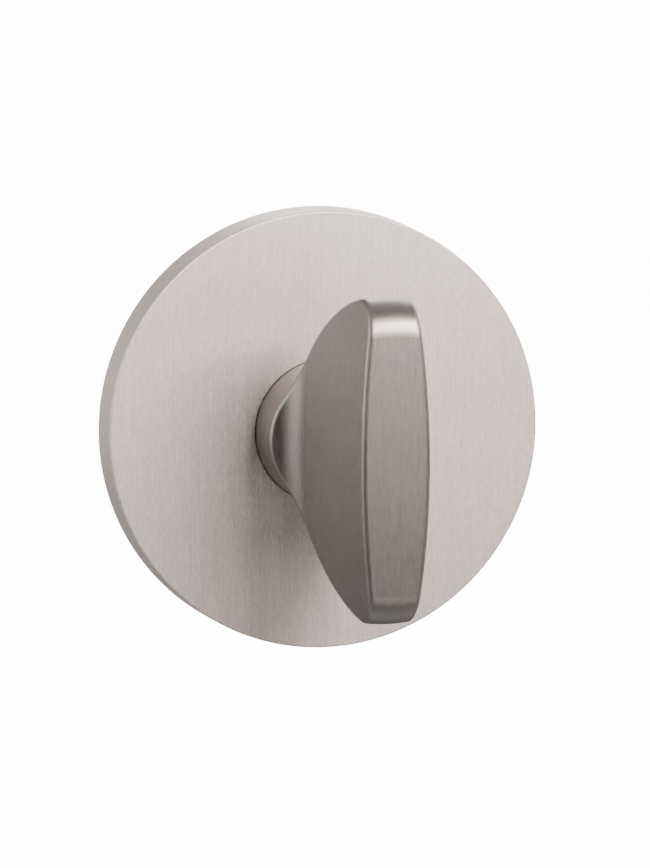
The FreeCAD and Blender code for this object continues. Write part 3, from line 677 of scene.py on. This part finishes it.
        # Each corner is joined to the rim's point that lies in its direction.
        count = len(rim)
        places = [round(math.atan2(z, x) / math.tau * count) % count for x, z in corners]
        for place in range(len(mouth)):
            after = (place + 1) % len(mouth)
            first, second = places[place], places[after]
            span = (second - first) % count
            arc = [rim[(first + step) % count] for step in range(span + 1)]
            own.faces.new([mouth[place], *arc, mouth[after]])


@dataclass
class Softbox:
    """A lamp behind square cloth, placed round the object and aimed at it."""

    name: str
    # Where it stands, in degrees and metres.
    azimuth: float
    elevation: float
    distance: float
    # The cloth's sides in metres and the lamp's power in watts.
    width: float
    height: float
    power: float
    # Its light is faintly warm.
    tint: str = "FFF7F3"

    def build(self) -> None:
        """Build the lamp."""
        lamp = bpy.data.lights.new(self.name, "AREA")
        lamp.shape = "RECTANGLE"
        lamp.size, lamp.size_y = self.width, self.height
        lamp.energy = self.power
        lamp.color = linear(self.tint)[:3]
        holder = bpy.data.objects.new(self.name, lamp)
        away = direction(self.azimuth, self.elevation)
        holder.location = away * self.distance
        holder.rotation_mode = "QUATERNION"
        holder.rotation_quaternion = (-away).to_track_quat("-Z", "Y")
        holder.visible_camera = False
        bpy.context.scene.collection.objects.link(holder)


@dataclass
class Studio:
    """The pale floor, the soft light and the camera."""

    floor_height: float = -100 * MM
    floor_reach: float = 8.0
    floor_tone: str = "F2F2F2"
    floor_roughness: float = 0.9
    # The photograph's viewing angle.
    azimuth: float = -14.37
    elevation: float = 7.5
    distance: float = 450 * MM
    target: tuple[float, float, float] = (1.187 * MM, -0.446 * MM, -1.041 * MM)
    sensor: float = 36.0
    lens: float = 157.7
    nearest_seen: float = 10 * MM
    # A key light high in front, two weak ones below it, and others for the sides and the back.
    lamps: tuple[Softbox, ...] = (
        Softbox("key_softbox", 20.0, 30.0, 0.32, 0.14, 0.15, 2.15),
        Softbox("front_fill", 15.0, -3.0, 0.32, 0.2, 0.12, 0.15),
        Softbox("low_fill", 14.0, -32.0, 0.32, 0.2, 0.1, 0.1),
        Softbox("right_fill", 115.0, 15.0, 0.5, 0.3, 0.3, 0.5),
        Softbox("left_fill", -92.0, 12.0, 0.4, 0.4, 0.25, 0.78),
        Softbox("back_softbox", 155.0, 35.0, 0.5, 0.35, 0.35, 1.8),
    )
    # The room's walls give a faint light, and less of it from behind and from below.
    walls: float = 0.75
    rear_share: float = 0.3
    rear_span: tuple[float, float] = (0.2, 0.8)
    low_share: float = 0.8
    low_span: tuple[float, float] = (-0.8, -0.1)
    # They are dark round this way, within the first angle, and have their full light past the
    # second.
    dark_azimuth: float = 0.0
    dark_elevation: float = 12.0
    dark_core: float = 40.0
    dark_edge: float = 95.0
    # How bright the white floor and walls look to the camera.
    white: str = "FFFFFF"
    backdrop: float = 14.0

    def build(self) -> None:
        """Build the floor, the lamps, the room and the camera."""
        self.build_floor()
        self.build_room()
        for lamp in self.lamps:
            lamp.build()
        self.build_camera()

    def build_floor(self) -> None:
        """Build a plain pale floor below the object."""
        data = bpy.data.meshes.new("studio_floor")
        far = self.floor_reach
        corners = [(-far, -far, 0), (far, -far, 0), (far, far, 0), (-far, far, 0)]
        data.from_pydata(corners, [], [(0, 1, 2, 3)])
        material, tree = new_material("pale_floor_paper")
        shader = add_node(tree, "ShaderNodeBsdfPrincipled", {
            "Base Color": linear(self.floor_tone), "Roughness": self.floor_roughness,
            "Emission Color": linear(self.white), "Emission Strength": self.backdrop,
        })
        add_node(tree, "ShaderNodeOutputMaterial", links={"Surface": shader.outputs[0]})
        data.materials.append(material)
        floor = bpy.data.objects.new("studio_floor", data)
        floor.location.z = self.floor_height
        # The floor is seen, but throws no light on the metal.
        floor.visible_glossy = False
        floor.visible_diffuse = False
        bpy.context.scene.collection.objects.link(floor)

    def build_room(self) -> None:
        """Build the walls of the room as faint soft light, with a dark part in front."""
        world = bpy.data.worlds.new("studio_room")
        world.use_nodes = True
        tree = world.node_tree
        tree.nodes.clear()
        way = add_node(tree, "ShaderNodeTexCoord").outputs["Generated"]
        dark = direction(self.dark_azimuth, self.dark_elevation)
        near = add_node(tree, "ShaderNodeVectorMath", {"operation": "DOT_PRODUCT", 1: dark},
                        {0: way})
        level = add_node(tree, "ShaderNodeMapRange", {
            "interpolation_type": "SMOOTHSTEP",
            "From Min": math.cos(math.radians(self.dark_edge)),
            "From Max": math.cos(math.radians(self.dark_core)),
            "To Min": self.walls, "To Max": 0.0,
        }, {"Value": near.outputs["Value"]})
        split = add_node(tree, "ShaderNodeSeparateXYZ", links={0: way})
        rear = add_node(tree, "ShaderNodeMapRange", {
            "From Min": self.rear_span[0], "From Max": self.rear_span[1],
            "To Min": 1.0, "To Max": self.rear_share,
        }, {"Value": split.outputs["Y"]})
        low = add_node(tree, "ShaderNodeMapRange", {
            "From Min": self.low_span[0], "From Max": self.low_span[1],
            "To Min": self.low_share, "To Max": 1.0,
        }, {"Value": split.outputs["Z"]})
        shaded = level
        for share in (rear, low):
            shaded = add_node(tree, "ShaderNodeMath", {"operation": "MULTIPLY"},
                              {0: shaded.outputs[0], 1: share.outputs["Result"]})
        walls = add_node(tree, "ShaderNodeBackground", links={"Color": shaded.outputs[0]})
        white = add_node(tree, "ShaderNodeBackground", {
            "Color": linear(self.white), "Strength": self.backdrop,
        })
        seen = add_node(tree, "ShaderNodeLightPath").outputs["Is Camera Ray"]
        both = add_node(tree, "ShaderNodeMixShader",
                        links={0: seen, 1: walls.outputs[0], 2: white.outputs[0]})
        add_node(tree, "ShaderNodeOutputWorld", links={"Surface": both.outputs[0]})
        bpy.context.scene.world = world

    def build_camera(self) -> None:
        """Build the camera at the photograph's viewing angle."""
        data = bpy.data.cameras.new("camera")
        data.sensor_width = self.sensor
        data.lens = self.lens
        data.clip_start = self.nearest_seen
        camera = bpy.data.objects.new("camera", data)
        away = direction(self.azimuth, self.elevation)
        camera.location = Vector(self.target) + away * self.distance
        camera.rotation_mode = "QUATERNION"
        camera.rotation_quaternion = (-away).to_track_quat("-Z", "Y")
        bpy.context.scene.collection.objects.link(camera)
        bpy.context.scene.camera = camera


def main() -> None:
    """Dress the lock and set up the studio."""
    logging.basicConfig(level=logging.INFO, format="%(message)s")
    for part in (Rose(), TurnUnit(), FixingScrews(), Studio()):
        part.build()
        LOG.info("built %s", type(part).__name__)


if __name__ == "__main__":
    main()
